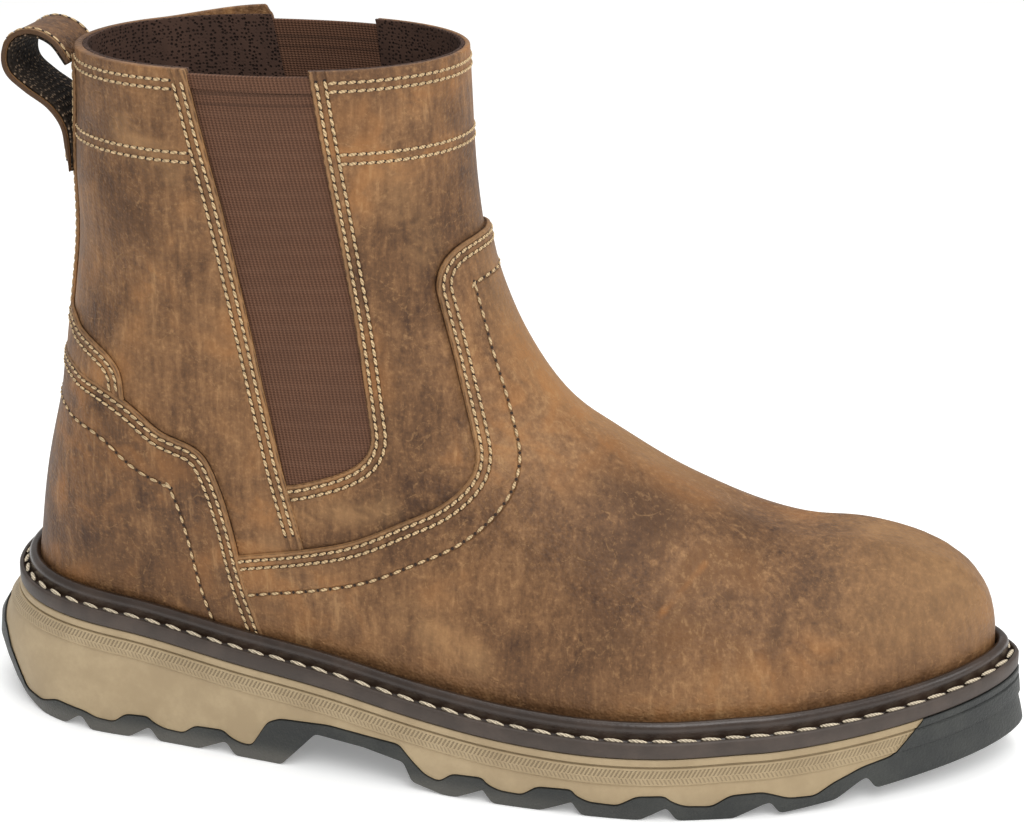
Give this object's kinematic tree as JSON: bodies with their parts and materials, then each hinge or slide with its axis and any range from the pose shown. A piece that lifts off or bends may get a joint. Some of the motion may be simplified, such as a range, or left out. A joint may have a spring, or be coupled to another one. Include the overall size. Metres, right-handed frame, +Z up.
{
  "type": "side gore work boot",
  "caption": "Pull-on leather work boot with elastic side gores, heel pull loop, stitched welt and lugged two-colour sole.",
  "frame": {"origin": "on the ground under the middle of the whole boot", "axes": "+X from heel to toe, +Y to the inner (medial) side, +Z up"},
  "size_m": [0.3158, 0.1112, 0.2072],
  "materials": {
    "leather": "oiled pull-up leather, waxy, scuffed",
    "strap": "leather strap lined with grey-brown tape",
    "elastic": "ribbed elastic",
    "welt": "dyed, satin, cream stitching",
    "midsole": "matte moulded",
    "outsole": "matte, fine pebbled",
    "insole": "dark footbed cloth"
  },
  "bodies": {
    "root": {"outsole": "outsole", "midsole": "midsole", "welt": "welt", "insole": "insole", "upper": "leather", "gore_lateral": "elastic", "gore_medial": "elastic", "vamp": "leather", "counter": "leather", "heel_tab": "leather", "pull_loop": "strap"}
  },
  "joints": []
}
